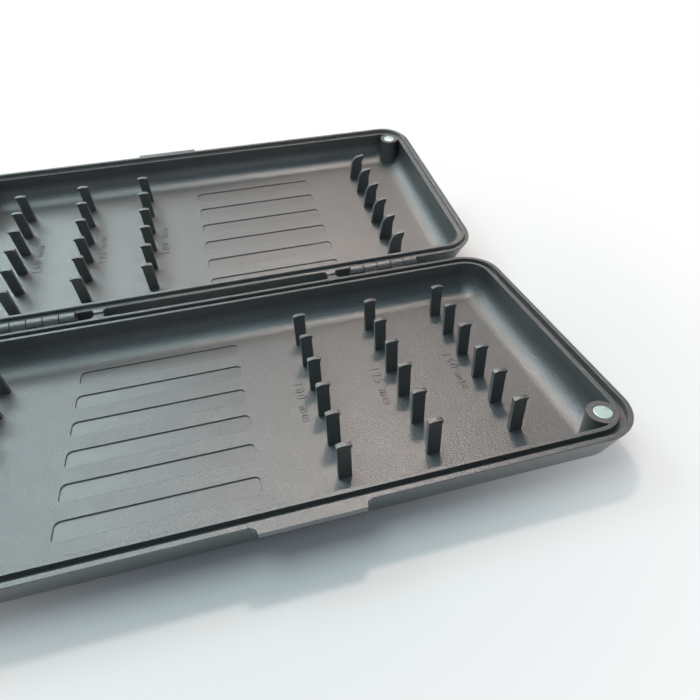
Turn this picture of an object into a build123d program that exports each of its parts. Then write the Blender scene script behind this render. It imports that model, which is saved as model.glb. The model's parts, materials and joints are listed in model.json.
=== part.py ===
from build123d import *
from math import radians, tan
import os

os.makedirs("parts", exist_ok=True)

# A flat case for tied fishing rigs, shown open: two shallow trays on a pair of pin hinges.
# X runs along the hinge, Y from the front of the base to its hinge side, Z up.
# The origin is the middle of the base's underside. Everything is in millimetres.

# Tray, the same for base and lid
tray_length = 201.8
tray_width = 98.0
tray_depth = 13.5
corner_radius = 12.5
wall_lean = 22.0
bottom_radius = 6.5
floor_thickness = 1.8
cove_radius = 7.2

# Rim, from the outside in: a flat land, a groove or a tongue, and a lower inner lip
land_width = 1.6
land_chamfer = 0.3
groove_width = 1.9
groove_depth = 2.1
lip_width = 1.2
lip_drop = 0.25
tongue_width = 1.2
tongue_height = 1.3
tongue_clearance = 0.25
tongue_chamfer = 0.25

# Hinges: knuckles of the base and the lid take turns on one steel pin
opening_angle = 168.5
closing_gap = 0.2
hinge_offset = 2.05
hinge_inset = 27.2
knuckle_count = 5
knuckle_length = 4.9
knuckle_gap = 0.25
knuckle_radius = 1.9
hinge_pin_radius = 0.75
hinge_pin_clearance = 0.05
hinge_pin_inset = 0.2
web_root = 1.0

# Stop tabs between the hinges, which meet when the box is open
stop_to_hinge = 5.5
stop_width = 3.2
stop_thickness = 2.5
stop_clearance = 0.05
stop_root = 0.7
tab_depth = 1.2

# Thumb tabs on the front edges, side by side when the box is shut
thumb_start = 0.4
thumb_length = 25.0
thumb_reach = 1.9
thumb_thickness = 1.4
thumb_root = 1.2
thumb_round = 0.5

# Rig pins: a hooked row at one end, and a row of pins at each rig length from it.
# Each longer row stands a little nearer the hinge, so that a line passes beside the shorter rows.
rig_lengths = (100.0, 125.0, 150.0)
post_pitch = 12.0
post_count = 6
post_thickness = 1.5
lane_shift = 2.0
row_stagger = 1.3
pin_width = 3.7
pin_height = 12.0
pin_crown = 0.4
beak_reach = 0.45
beak_height = 1.3
row_offset = 0.6
hook_height = 11.4
hook_foot = 5.4
hook_overhang = 0.7
hook_back_height = 7.0
hook_shoulder_inset = 3.4
hook_shoulder_height = 10.8
hook_throat_height = 3.4

# Shallow panels that take a written label
panel_length = 51.2
panel_width = 6.4
panel_depth = 0.4
panel_round = 1.6
panel_x = -22.9

# Magnets in corner bosses on the front side
magnet_radius = 2.5
magnet_thickness = 2.0
magnet_clearance = 0.05
boss_radius = 4.2
boss_side_inset = 8.6
boss_front_inset = 9.4

# Values worked out from the ones above
front_y = -tray_width / 2
rear_y = tray_width / 2
hinge_y = rear_y + hinge_offset
hinge_z = tray_depth + closing_gap / 2
lid_tilt = 180 - opening_angle
groove_inset = land_width
lip_inset = groove_inset + groove_width
wall_inset = lip_inset + lip_width
tongue_inset = groove_inset + tongue_clearance
lip_z = tray_depth - lip_drop
knuckle_step = knuckle_length + knuckle_gap
hinge_length = knuckle_count * knuckle_step - knuckle_gap
hinge_start = tray_length / 2 - hinge_inset - hinge_length
stop_start = hinge_start - stop_to_hinge - stop_width
hook_tip_x = -rig_lengths[-1] / 2 - row_offset
post_ys = [(i - (post_count - 1) / 2) * post_pitch for i in range(post_count)]
overlap = 0.5


def plate(inset, bottom, top):
    """A rounded plate that follows the tray's outline, set in from it."""
    outline = RectangleRounded(tray_length - 2 * inset, tray_width - 2 * inset, corner_radius - inset)
    return Pos(0, 0, bottom) * extrude(outline, top - bottom)


def ring(outer_inset, inner_inset, bottom, top):
    """A closed ring between two outlines set in from the tray's own."""
    return plate(outer_inset, bottom, top) - plate(inner_inset, bottom, top)


def tray_block():
    """The tray's outside as a solid block, with leaning walls and a rounded bottom edge."""
    rim = RectangleRounded(tray_length, tray_width, corner_radius)
    body = extrude(Pos(0, 0, tray_depth) * rim, tray_depth, dir=(0, 0, -1), taper=wall_lean)
    body = fillet(body.faces().sort_by(Axis.Z)[0].edges(), bottom_radius)
    return chamfer(body.faces().sort_by(Axis.Z)[-1].edges(), land_chamfer)


def tray(block):
    """The moulded tray with its coved hollow, its lower inner lip and its label panels."""
    hollow = plate(wall_inset, floor_thickness, tray_depth + overlap)
    hollow = fillet(hollow.faces().sort_by(Axis.Z)[0].edges(), cove_radius)
    body = block - hollow
    body -= plate(lip_inset, lip_z, tray_depth + overlap)
    panel = extrude(RectangleRounded(panel_length, panel_width, panel_round), panel_depth + overlap)
    for y in post_ys:
        body -= Pos(panel_x, y + lane_shift, floor_thickness - panel_depth) * panel
    return body


def magnet_places():
    """The middle of each magnet's top face."""
    x = tray_length / 2 - boss_side_inset
    return [Pos(side * x, front_y + boss_front_inset, lip_z) for side in (-1, 1)]


def with_bosses(body, block):
    """Adds the corner bosses, kept within the tray's outside, and sinks a pocket for a magnet in each."""
    height = lip_z - floor_thickness
    for place in magnet_places():
        post = Cylinder(boss_radius, height + overlap, align=(Align.CENTER, Align.CENTER, Align.MAX))
        pocket = Cylinder(magnet_radius + magnet_clearance, magnet_thickness,
                          align=(Align.CENTER, Align.CENTER, Align.MAX))
        body = body + (place * post & block) - place * pocket
    return body


def tab_outline(width, reach, root):
    """A tab seen from above, from its leaning wall outwards along Y, with a small radius at each root."""
    half = width / 2
    foot = half + root
    outline = Polyline((-half, root), (-half, reach), (half, reach), (half, root))
    outline += RadiusArc((half, root), (foot, 0), -root)
    outline += Polyline((foot, 0), (foot, -tab_depth), (-foot, -tab_depth), (-foot, 0))
    outline += RadiusArc((-foot, 0), (-half, root), -root)
    return make_face(outline)


def thumb_tab():
    """A thin ledge along the front edge, flush with the land."""
    outline = tab_outline(thumb_length, thumb_reach, thumb_root)
    outline = fillet(outline.vertices().group_by(Axis.Y)[-1], thumb_round)
    place = Pos(thumb_start + thumb_length / 2, front_y, tray_depth - thumb_thickness) * Rot(0, 0, 180)
    return place * extrude(outline, thumb_thickness)


def stop_tab(side):
    """A tab on the hinge side, cut back to the plane where the tabs of both halves meet."""
    reach = hinge_offset + stop_thickness * tan(radians(lid_tilt / 2))
    tab = extrude(tab_outline(stop_width, reach, stop_root), stop_thickness)
    beyond = Pos(0, hinge_y, hinge_z) * Rot(lid_tilt / 2, 0, 0) * Pos(0, -stop_clearance / 2, 0) * Box(
        tray_length, tray_width, 4 * stop_thickness, align=(Align.CENTER, Align.MIN, Align.CENTER))
    return Pos(side * (stop_start + stop_width / 2), rear_y, tray_depth - stop_thickness) * tab - beyond


def knuckle_starts(side):
    """The lower X end of each knuckle of one hinge, counted from the middle of the box outwards."""
    starts = [hinge_start + i * knuckle_step for i in range(knuckle_count)]
    if side < 0:
        starts = [-start - knuckle_length for start in starts]
    return starts


def knuckle(start):
    """One knuckle with the web that carries it from the rear wall."""
    barrel = Pos(start, hinge_y, hinge_z) * Rot(0, 90, 0) * Cylinder(
        knuckle_radius, knuckle_length, align=(Align.CENTER, Align.CENTER, Align.MIN))
    web_depth = hinge_offset + web_root
    web = Pos(start, rear_y - web_root, tray_depth) * Box(
        knuckle_length, web_depth, knuckle_radius - closing_gap / 2, align=(Align.MIN, Align.MIN, Align.MAX))
    return barrel + web


def with_hinge(body, first):
    """Adds every second knuckle of both hinges and bores them for their pins."""
    for side in (-1, 1):
        for start in knuckle_starts(side)[first::2]:
            body += knuckle(start)
    bore = Pos(0, hinge_y, hinge_z) * Rot(0, 90, 0) * Cylinder(
        hinge_pin_radius + hinge_pin_clearance, tray_length)
    return body - bore


def shell(first_knuckle):
    """What base and lid have in common, with the given knuckle as the first."""
    block = tray_block()
    body = with_bosses(tray(block), block)
    body += thumb_tab()
    for side in (-1, 1):
        body += stop_tab(side)
    return with_hinge(body, first_knuckle)


def pin_profile():
    """A straight pin with a crowned top and a small beak that keeps a loop from slipping off."""
    left = -pin_width / 2
    right = pin_width / 2
    tip = (right + beak_reach, pin_height - pin_crown)
    shoulder = (left, pin_height - pin_crown)
    outline = Polyline(tip, (right, pin_height - beak_height), (right, 0), (left, 0), shoulder)
    outline += ThreePointArc(shoulder, (0, pin_height), tip)
    return make_face(outline)


def hook_profile():
    """A fin that leans outwards to a sharp tip, measured from below that tip."""
    back_foot = hook_overhang + hook_foot
    back_top = (back_foot - hook_overhang, hook_back_height)
    shoulder = (hook_shoulder_inset, hook_shoulder_height)
    throat = (hook_overhang, hook_height - hook_throat_height)
    outline = Polyline(throat, (hook_overhang, 0), (back_foot, 0), back_top)
    outline += TangentArc([back_top, shoulder], tangent=Vector(back_top) - Vector(back_foot, 0))
    outline += Line(shoulder, (0, hook_height))
    outline += RadiusArc((0, hook_height), throat, -2 * hook_throat_height)
    return make_face(outline)


def row(profile, x, shift):
    """One standing blade of the given profile at each place across the tray."""
    blade = extrude(Plane.XZ * profile, post_thickness / 2, both=True)
    return Compound([Pos(x, y + shift, floor_thickness) * blade for y in post_ys])


def tray_posts(owner):
    """The pin rows and the hooked row that stand in one tray."""
    posts = {}
    for number, length in enumerate(rig_lengths):
        stagger = (number - (len(rig_lengths) - 1) / 2) * row_stagger
        posts[f"{owner}_pins_{length:.0f}mm"] = row(pin_profile(), hook_tip_x + length, stagger)
    posts[f"{owner}_hooks"] = row(hook_profile(), hook_tip_x, lane_shift)
    return posts


def magnets(owner):
    """The disc magnets of one tray, flush with their bosses."""
    disc = Cylinder(magnet_radius, magnet_thickness, align=(Align.CENTER, Align.CENTER, Align.MAX))
    return {f"{owner}_magnet_{name}": place * disc for name, place in zip(("left", "right"), magnet_places())}


def hinge_pin(side):
    """The steel pin through all knuckles of one hinge."""
    start = min(knuckle_starts(side)) + hinge_pin_inset
    rod = Cylinder(hinge_pin_radius, hinge_length - 2 * hinge_pin_inset,
                   align=(Align.CENTER, Align.CENTER, Align.MIN))
    return Pos(start, hinge_y, hinge_z) * Rot(0, 90, 0) * rod


def base_parts():
    """The lower half: a groove in its rim, and the even knuckles."""
    body = shell(1) - ring(groove_inset, lip_inset, tray_depth - groove_depth, tray_depth + overlap)
    return {"base_shell": body} | tray_posts("base") | magnets("base")


def lid_parts():
    """The upper half, made as a base would be: a tongue on its rim, and the odd knuckles."""
    tongue = ring(tongue_inset, tongue_inset + tongue_width, lip_z - overlap, tray_depth + tongue_height)
    tongue = chamfer(tongue.faces().sort_by(Axis.Z)[-1].edges(), tongue_chamfer)
    return {"lid_shell": shell(0) + tongue} | tray_posts("lid") | magnets("lid")


def opened(part):
    """Swings a part of the lid from a base's place to its own, turned about and leaning on the stops."""
    swing = Pos(0, hinge_y, hinge_z) * Rot(lid_tilt, 0, 0) * Rot(0, 0, 180) * Pos(0, -hinge_y, -hinge_z)
    return swing * part


nodes = base_parts()
nodes["hinge_pin_left"] = hinge_pin(-1)
nodes["hinge_pin_right"] = hinge_pin(1)
for name, part in lid_parts().items():
    nodes[name] = opened(part)

for name, part in nodes.items():
    export_step(part, f"parts/{name}.step")
    print(name, len(part.solids()), "solids", round(part.volume, 1), "mm3")
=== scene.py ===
import json
import math
import bpy
from mathutils import Matrix, Vector


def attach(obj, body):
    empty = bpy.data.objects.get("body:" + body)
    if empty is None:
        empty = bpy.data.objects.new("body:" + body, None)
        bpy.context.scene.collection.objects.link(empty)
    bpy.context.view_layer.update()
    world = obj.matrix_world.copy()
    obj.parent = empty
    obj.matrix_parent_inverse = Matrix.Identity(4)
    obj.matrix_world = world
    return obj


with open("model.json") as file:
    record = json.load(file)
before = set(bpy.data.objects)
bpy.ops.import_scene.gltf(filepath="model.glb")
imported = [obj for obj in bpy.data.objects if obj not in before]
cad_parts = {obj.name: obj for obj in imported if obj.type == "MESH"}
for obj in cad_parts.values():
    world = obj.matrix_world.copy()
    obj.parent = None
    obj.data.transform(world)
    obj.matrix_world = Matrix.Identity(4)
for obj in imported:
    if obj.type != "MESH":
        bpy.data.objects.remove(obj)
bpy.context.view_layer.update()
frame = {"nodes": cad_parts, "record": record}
nodes = frame["nodes"]
record = frame["record"]
millimetre = 0.001
print("frame loaded")


# Small helpers for colours and nodes

def hexColour(text):
    channels = [int(text[i:i + 2], 16) / 255 for i in (1, 3, 5)]
    linear = [c / 12.92 if c <= 0.04045 else ((c + 0.055) / 1.055) ** 2.4 for c in channels]
    return linear + [1.0]


def addNode(tree, kind, settings=None, inputs=None, links=None):
    # a socket goes by its name, or by its number where two share a name
    node = tree.nodes.new(kind)
    for name, value in (settings or {}).items():
        setattr(node, name, value)
    for name, value in (inputs or {}).items():
        node.inputs[name].default_value = value
    for name, socket in (links or {}).items():
        tree.links.new(socket, node.inputs[name])
    return node


def emptyMaterial(name):
    material = bpy.data.materials.new(name)
    material.use_nodes = True
    material.node_tree.nodes.clear()
    return material, material.node_tree


def perMillimetre(size):
    return 1 / (size * millimetre)  # texture scale for a feature this many millimetres wide


# The tray's sizes in millimetres, and where a piece of the base goes when it belongs to the
# open lid instead

tray = {
    "length": 201.8,
    "width": 98.0,
    "floor": 1.8,
    "hingeOffset": 2.05,
    "hingeHeight": 13.6,
    "lidTilt": 11.5,          # degrees
    "panelMiddle": -22.9,
    "panelHalf": 26.0,
    "panelFloor": 1.4,
    "panelFloorReach": 0.25,
}


def lidPlace():
    hinge = Vector((0, tray["width"] / 2 + tray["hingeOffset"], tray["hingeHeight"])) * millimetre
    turn = Matrix.Rotation(math.radians(tray["lidTilt"]), 4, "X") @ Matrix.Rotation(math.pi, 4, "Z")
    return Matrix.Translation(hinge) @ turn @ Matrix.Translation(-hinge)


# Moulded ABS with a spark-eroded skin: black, satin, with fine pits that glitter where it
# mirrors the light

blackAbs = {
    "colour": "#1b2526",
    "dustColour": "#2c3638",
    "ior": 1.72,              # ABS alone is about 1.54, this is matched to the strong sheen
    "specularLevel": 1.0,
    "roughness": (0.5, 0.58),
    "skin": 0.9,              # the tops of the grain are smoother than its pits
    "skinRoughness": 0.33,
    "skinIor": 1.72,
    "grain": 0.42,            # real spark pits are about 0.15 mm, drawn coarser so that they show
    "grainDetail": 2.0,
    "grainRoughness": 0.6,
    "grainBump": 1.0,
    "grainDepth": 0.16,
    "mottle": 9.0,            # width of the patches of dust and handling
    "mottleDetail": 4.0,
    "mottleRoughness": 0.55,
    "mottleRange": (0.3, 0.7),
    "panelRoughness": 0.6,    # the label panels have a finer grain than the floor round them
    "panelBump": 0.55,
    "edgeRadius": 0.18,
    "edgeSamples": 6,
}


def trayCoordinates(tree, body):
    place = addNode(tree, "ShaderNodeTexCoord").outputs["Object"]
    if body == "base":
        return place
    back = lidPlace().inverted()
    turned = addNode(tree, "ShaderNodeMapping", inputs={
        "Location": back.to_translation(), "Rotation": back.to_euler()}, links={"Vector": place})
    return turned.outputs["Vector"]


def panelMask(tree, place):
    # 1 on the sunken label panels and 0 elsewhere, from the place along the tray and the
    # height over its underside
    axes = addNode(tree, "ShaderNodeSeparateXYZ", links={"Vector": place})
    within = []
    for axis, middle, reach in (("X", tray["panelMiddle"], tray["panelHalf"]),
                                ("Z", tray["panelFloor"], tray["panelFloorReach"])):
        compared = addNode(tree, "ShaderNodeMath", settings={"operation": "COMPARE"},
                           inputs={1: middle * millimetre, 2: reach * millimetre},
                           links={0: axes.outputs[axis]})
        within.append(compared.outputs[0])
    both = addNode(tree, "ShaderNodeMath", settings={"operation": "MULTIPLY"},
                   links={0: within[0], 1: within[1]})
    return both.outputs[0]


def makeBlackAbs(body):
    material, tree = emptyMaterial(f"mouldedAbsSparkTexture_{body}")
    place = trayCoordinates(tree, body)
    panel = panelMask(tree, place)
    grain = addNode(tree, "ShaderNodeTexNoise", inputs={
        "Scale": perMillimetre(blackAbs["grain"]), "Detail": blackAbs["grainDetail"],
        "Roughness": blackAbs["grainRoughness"]}, links={"Vector": place})
    mottle = addNode(tree, "ShaderNodeTexNoise", inputs={
        "Scale": perMillimetre(blackAbs["mottle"]), "Detail": blackAbs["mottleDetail"],
        "Roughness": blackAbs["mottleRoughness"]}, links={"Vector": place})
    least, most = blackAbs["mottleRange"]
    low, high = blackAbs["roughness"]
    sparked = addNode(tree, "ShaderNodeMapRange", inputs={
        "From Min": least, "From Max": most, "To Min": low, "To Max": high},
        links={"Value": mottle.outputs["Fac"]})
    roughness = addNode(tree, "ShaderNodeMix", inputs={"B": blackAbs["panelRoughness"]}, links={
        "Factor": panel, "A": sparked.outputs["Result"]})
    bumpStrength = addNode(tree, "ShaderNodeMapRange", inputs={
        "To Min": blackAbs["grainBump"], "To Max": blackAbs["panelBump"]}, links={"Value": panel})
    colour = addNode(tree, "ShaderNodeMix", settings={"data_type": "RGBA"}, inputs={
        "A": hexColour(blackAbs["colour"]), "B": hexColour(blackAbs["dustColour"])},
        links={"Factor": mottle.outputs["Fac"]})
    edge = addNode(tree, "ShaderNodeBevel", settings={"samples": blackAbs["edgeSamples"]},
                   inputs={"Radius": blackAbs["edgeRadius"] * millimetre})
    bump = addNode(tree, "ShaderNodeBump", inputs={
        "Distance": blackAbs["grainDepth"] * millimetre}, links={
        "Strength": bumpStrength.outputs["Result"], "Height": grain.outputs["Fac"],
        "Normal": edge.outputs["Normal"]})
    shader = addNode(tree, "ShaderNodeBsdfPrincipled", inputs={
        "IOR": blackAbs["ior"], "Specular IOR Level": blackAbs["specularLevel"],
        "Coat Weight": blackAbs["skin"], "Coat Roughness": blackAbs["skinRoughness"],
        "Coat IOR": blackAbs["skinIor"]}, links={
        "Base Color": colour.outputs["Result"], "Roughness": roughness.outputs["Result"],
        "Normal": bump.outputs["Normal"], "Coat Normal": bump.outputs["Normal"]})
    addNode(tree, "ShaderNodeOutputMaterial", links={"Surface": shader.outputs["BSDF"]})
    return material


# Nickel plating on the disc magnets: a pale satin mirror with handling wear. Its colour is painted
# paler and greener than nickel's own, standing in for the cool light that it mirrors

nickelPlate = {
    # painted tint: the pale green and the extra lightness stand in for the cool light mirrored here
    "colour": "#e4fff8",
    "roughness": (0.42, 0.55),
    "wear": 1.1,              # width of the worn patches
    "wearDetail": 5.0,
    "wearRoughness": 0.65,
    "wearRange": (0.35, 0.7),
    "bump": 0.16,
    "bumpDepth": 0.05,
    "rimRadius": 0.25,
    "rimSegments": 3,
    "joinWithin": 0.001,
    "flatWithin": 1.0,        # degrees
}


def makeNickelPlate():
    material, tree = emptyMaterial("nickelPlatedMagnet")
    place = addNode(tree, "ShaderNodeTexCoord").outputs["Object"]
    wear = addNode(tree, "ShaderNodeTexNoise", inputs={
        "Scale": perMillimetre(nickelPlate["wear"]), "Detail": nickelPlate["wearDetail"],
        "Roughness": nickelPlate["wearRoughness"]}, links={"Vector": place})
    least, most = nickelPlate["wearRange"]
    low, high = nickelPlate["roughness"]
    roughness = addNode(tree, "ShaderNodeMapRange", inputs={
        "From Min": least, "From Max": most, "To Min": low, "To Max": high},
        links={"Value": wear.outputs["Fac"]})
    bump = addNode(tree, "ShaderNodeBump", inputs={
        "Strength": nickelPlate["bump"], "Distance": nickelPlate["bumpDepth"] * millimetre},
        links={"Height": wear.outputs["Fac"]})
    shader = addNode(tree, "ShaderNodeBsdfPrincipled", inputs={
        "Base Color": hexColour(nickelPlate["colour"]), "Metallic": 1.0}, links={
        "Roughness": roughness.outputs["Result"], "Normal": bump.outputs["Normal"]})
    addNode(tree, "ShaderNodeOutputMaterial", links={"Surface": shader.outputs["BSDF"]})
    return material


def roundRim(magnet):
    # the doubled points are joined, then the triangles become whole faces, so that the rim
    # rounds evenly
    joined = magnet.modifiers.new("joinedEdges", "WELD")
    joined.merge_threshold = nickelPlate["joinWithin"] * millimetre
    faces = magnet.modifiers.new("wholeFaces", "DECIMATE")
    faces.decimate_type = "DISSOLVE"
    faces.angle_limit = math.radians(nickelPlate["flatWithin"])
    rim = magnet.modifiers.new("roundedRim", "BEVEL")
    rim.width = nickelPlate["rimRadius"] * millimetre
    rim.segments = nickelPlate["rimSegments"]


# Drawn steel wire of the hinge pins: grey, brushed along its length by the die

drawnSteel = {
    "colour": "#9a9c9e",
    "roughness": 0.32,
    "lines": 0.12,            # die lines are finer than 0.05 mm, drawn coarser so that they show
    "lineDetail": 2.0,
    "stretch": (0.02, 1.0, 1.0),
    "bump": 0.15,
    "bumpDepth": 0.02,
}


def makeDrawnSteel():
    material, tree = emptyMaterial("drawnSteelWire")
    place = addNode(tree, "ShaderNodeTexCoord").outputs["Object"]
    stretched = addNode(tree, "ShaderNodeMapping", inputs={"Scale": drawnSteel["stretch"]},
                        links={"Vector": place})
    lines = addNode(tree, "ShaderNodeTexNoise", inputs={
        "Scale": perMillimetre(drawnSteel["lines"]), "Detail": drawnSteel["lineDetail"]},
        links={"Vector": stretched.outputs["Vector"]})
    bump = addNode(tree, "ShaderNodeBump", inputs={
        "Strength": drawnSteel["bump"], "Distance": drawnSteel["bumpDepth"] * millimetre},
        links={"Height": lines.outputs["Fac"]})
    shader = addNode(tree, "ShaderNodeBsdfPrincipled", inputs={
        "Base Color": hexColour(drawnSteel["colour"]), "Metallic": 1.0,
        "Roughness": drawnSteel["roughness"]}, links={"Normal": bump.outputs["Normal"]})
    addNode(tree, "ShaderNodeOutputMaterial", links={"Surface": shader.outputs["BSDF"]})
    return material


basePlastic = makeBlackAbs("base")
lidPlastic = makeBlackAbs("lid")
materials = {
    "magnet_nickel": makeNickelPlate(),
    "pin_steel": makeDrawnSteel(),
}
slotOf = {part["node"]: part["material_slot"] for part in record["subparts"]}
for name, node in nodes.items():
    ownPlastic = lidPlastic if name.startswith("lid") else basePlastic
    for materialSlot in node.material_slots:
        materialSlot.link = "OBJECT"
        materialSlot.material = materials.get(slotOf[name], ownPlastic)
    if slotOf[name] == "magnet_nickel":
        roundRim(node)
print("materials made")


# Raised measures beside the pin rows, counted from the hook tips

marks = {
    "rows": (100, 125, 150),
    "tipFromEnd": 25.3,       # the hook tips stand this far in from the end of the tray
    "besideRow": -5.4,
    "letterSize": 4.3,
    "spacing": 1.35,
    "raised": 0.13,
    "edge": 0.06,
    "edgeResolution": 1,
}


def makeMark(row, body, place):
    curve = bpy.data.curves.new(f"{body}Mark{row}", "FONT")
    curve.body = f"{row} mm"
    curve.size = marks["letterSize"] * millimetre
    curve.space_character = marks["spacing"]
    curve.extrude = marks["raised"] * millimetre
    curve.bevel_depth = marks["edge"] * millimetre
    curve.bevel_resolution = marks["edgeResolution"]
    curve.align_x = "CENTER"
    curve.align_y = "CENTER"
    mark = bpy.data.objects.new(f"{body}_mark_{row}mm", curve)
    bpy.context.collection.objects.link(mark)
    x = marks["tipFromEnd"] - tray["length"] / 2 + row + marks["besideRow"]
    spot = Matrix.Translation(Vector((x, 0, tray["floor"])) * millimetre)
    mark.matrix_world = place @ spot @ Matrix.Rotation(-math.pi / 2, 4, "Z")
    mark.data.materials.append(basePlastic)
    bpy.context.view_layer.update()
    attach(mark, body)


for row in marks["rows"]:
    makeMark(row, "base", Matrix.Identity(4))
    makeMark(row, "lid", lidPlace())
print("measures raised on both floors")


# Plain pale floor, a small warm key high behind the box, one warm and two cool panels behind
# and above it, and a weak fill

studio = {
    "floorColour": "#fbfbfb",
    "floorSize": 8.0,
    "floorMiddle": (0.0, 0.051),     # below the hinge, the middle of the open box
    "floorRoughness": 0.9,
    "floorSpecular": 0.2,
    "shadowReach": (0.085, 0.21),    # metres from the middle over which the shadow fades out
    "worldFill": 0.17,
    "backdropTop": (5.0, 15.0),      # degrees above the horizon, where the white runs out
    "fillColour": "#cee9ff",
}
softPanels = {
    # what it is aimed at in millimetres, elevation and turn from straight behind that in
    # degrees, distance and size in metres, and brightness
    "warmKey": {
        "aim": (60, 0, 14), "elevation": 61.7, "turn": -16.4, "distance": 0.368,
        "size": (0.045, 0.035), "brightness": 90.0, "colour": "#ffeade"},
    "warmBehind": {
        "aim": (0, 50, 10), "elevation": 60.0, "turn": -15.0, "distance": 1.2,
        "size": (0.6, 0.36), "brightness": 3.0, "colour": "#ffdfd0"},
    "coolBehind": {
        "aim": (0, 50, 10), "elevation": 42.0, "turn": 38.0, "distance": 1.2,
        "size": (0.8, 0.36), "brightness": 5.8, "colour": "#e8fcff"},
    "overhead": {
        "aim": (0, 50, 10), "elevation": 77.0, "turn": 88.0, "distance": 1.2,
        "size": (0.8, 0.6), "brightness": 3.2, "colour": "#e6ffff"},
}


def makeFloor():
    half = studio["floorSize"] / 2
    corners = [(-half, -half, 0), (half, -half, 0), (half, half, 0), (-half, half, 0)]
    mesh = bpy.data.meshes.new("studioFloor")
    mesh.from_pydata(corners, [], [(0, 1, 2, 3)])
    floor = bpy.data.objects.new("studioFloor", mesh)
    bpy.context.collection.objects.link(floor)
    material, tree = emptyMaterial("paintedFloor")
    rays = addNode(tree, "ShaderNodeLightPath")
    seen = addNode(tree, "ShaderNodeMath", settings={"operation": "MAXIMUM"}, links={
        0: rays.outputs["Is Camera Ray"], 1: rays.outputs["Is Glossy Ray"]})
    seenOrThrough = addNode(tree, "ShaderNodeMath", settings={"operation": "MAXIMUM"}, links={
        0: seen.outputs[0], 1: rays.outputs["Is Transmission Ray"]})
    place = addNode(tree, "ShaderNodeTexCoord").outputs["Object"]
    distance = addNode(tree, "ShaderNodeVectorMath", settings={"operation": "LENGTH"},
                       links={0: place})
    near, far = studio["shadowReach"]
    away = addNode(tree, "ShaderNodeMapRange", settings={"interpolation_type": "SMOOTHSTEP"},
                   inputs={"From Min": near, "From Max": far},
                   links={"Value": distance.outputs["Value"]})
    amount = addNode(tree, "ShaderNodeMath", settings={"operation": "MULTIPLY"}, links={
        0: seenOrThrough.outputs[0], 1: away.outputs["Result"]})
    paint = addNode(tree, "ShaderNodeBsdfPrincipled", inputs={
        "Base Color": hexColour(studio["floorColour"]), "Roughness": studio["floorRoughness"],
        "Specular IOR Level": studio["floorSpecular"]})
    white = addNode(tree, "ShaderNodeEmission", inputs={"Color": (1, 1, 1, 1), "Strength": 1.0})
    both = addNode(tree, "ShaderNodeMixShader", links={
        "Fac": amount.outputs[0], 1: paint.outputs["BSDF"], 2: white.outputs["Emission"]})
    addNode(tree, "ShaderNodeOutputMaterial", links={"Surface": both.outputs["Shader"]})
    floor.data.materials.append(material)
    floor.location = (*studio["floorMiddle"], 0)


def makeWorld():
    # the white backdrop stands along the horizon, where gloss and glass mirror it, and the
    # camera sees white all round
    world = bpy.data.worlds.new("studioWorld")
    bpy.context.scene.world = world
    world.use_nodes = True
    tree = world.node_tree
    tree.nodes.clear()
    rays = addNode(tree, "ShaderNodeLightPath")
    around = addNode(tree, "ShaderNodeTexCoord").outputs["Generated"]
    direction = addNode(tree, "ShaderNodeSeparateXYZ", links={"Vector": around})
    low, high = (math.sin(math.radians(angle)) for angle in studio["backdropTop"])
    backdrop = addNode(tree, "ShaderNodeMapRange", settings={"interpolation_type": "SMOOTHSTEP"},
                       inputs={"From Min": low, "From Max": high, "To Min": 1.0, "To Max": 0.0},
                       links={"Value": direction.outputs["Z"]})
    mirrored = addNode(tree, "ShaderNodeMath", settings={"operation": "MAXIMUM"}, links={
        0: rays.outputs["Is Glossy Ray"], 1: rays.outputs["Is Transmission Ray"]})
    mirroredWhite = addNode(tree, "ShaderNodeMath", settings={"operation": "MULTIPLY"}, links={
        0: mirrored.outputs[0], 1: backdrop.outputs["Result"]})
    seen = addNode(tree, "ShaderNodeMath", settings={"operation": "MAXIMUM"}, links={
        0: rays.outputs["Is Camera Ray"], 1: mirroredWhite.outputs[0]})
    fill = addNode(tree, "ShaderNodeBackground", inputs={
        "Color": hexColour(studio["fillColour"]), "Strength": studio["worldFill"]})
    white = addNode(tree, "ShaderNodeBackground", inputs={"Color": (1, 1, 1, 1), "Strength": 1.0})
    both = addNode(tree, "ShaderNodeMixShader", links={
        "Fac": seen.outputs[0], 1: fill.outputs["Background"], 2: white.outputs["Background"]})
    addNode(tree, "ShaderNodeOutputWorld", links={"Surface": both.outputs["Shader"]})


def makePanel(name, facts):
    light = bpy.data.lights.new(name, "AREA")
    light.shape = "RECTANGLE"
    light.size, light.size_y = facts["size"]
    light.energy = facts["brightness"] * math.pi * light.size * light.size_y
    light.color = hexColour(facts["colour"])[:3]
    panel = bpy.data.objects.new(name, light)
    bpy.context.collection.objects.link(panel)
    height = math.radians(facts["elevation"])
    turn = math.radians(facts["turn"])
    direction = Vector((
        -math.sin(turn) * math.cos(height), math.cos(turn) * math.cos(height), math.sin(height)))
    panel.location = Vector(facts["aim"]) * millimetre + direction * facts["distance"]
    panel.rotation_euler = direction.to_track_quat("Z", "Y").to_euler()


makeFloor()
makeWorld()
for panelName, panelFacts in softPanels.items():
    makePanel(panelName, panelFacts)
print("studio set up")


# Camera at the photograph's place, worked out from the measured points of both trays

view = {
    "location": (5.532, -124.626, 117.426),
    "rotation": (52.0903, 2.1727, -14.8757),
    "lens": 28.6206,
    "sensor": 36.0,
    "clipStart": 0.01,        # metres
}
lens = bpy.data.cameras.new("photoCamera")
lens.sensor_width = view["sensor"]
lens.lens = view["lens"]
lens.clip_start = view["clipStart"]
camera = bpy.data.objects.new("photoCamera", lens)
bpy.context.collection.objects.link(camera)
camera.location = Vector(view["location"]) * millimetre
camera.rotation_euler = [math.radians(angle) for angle in view["rotation"]]
bpy.context.scene.camera = camera
bpy.context.scene.view_settings.view_transform = "Standard"
print("camera placed")
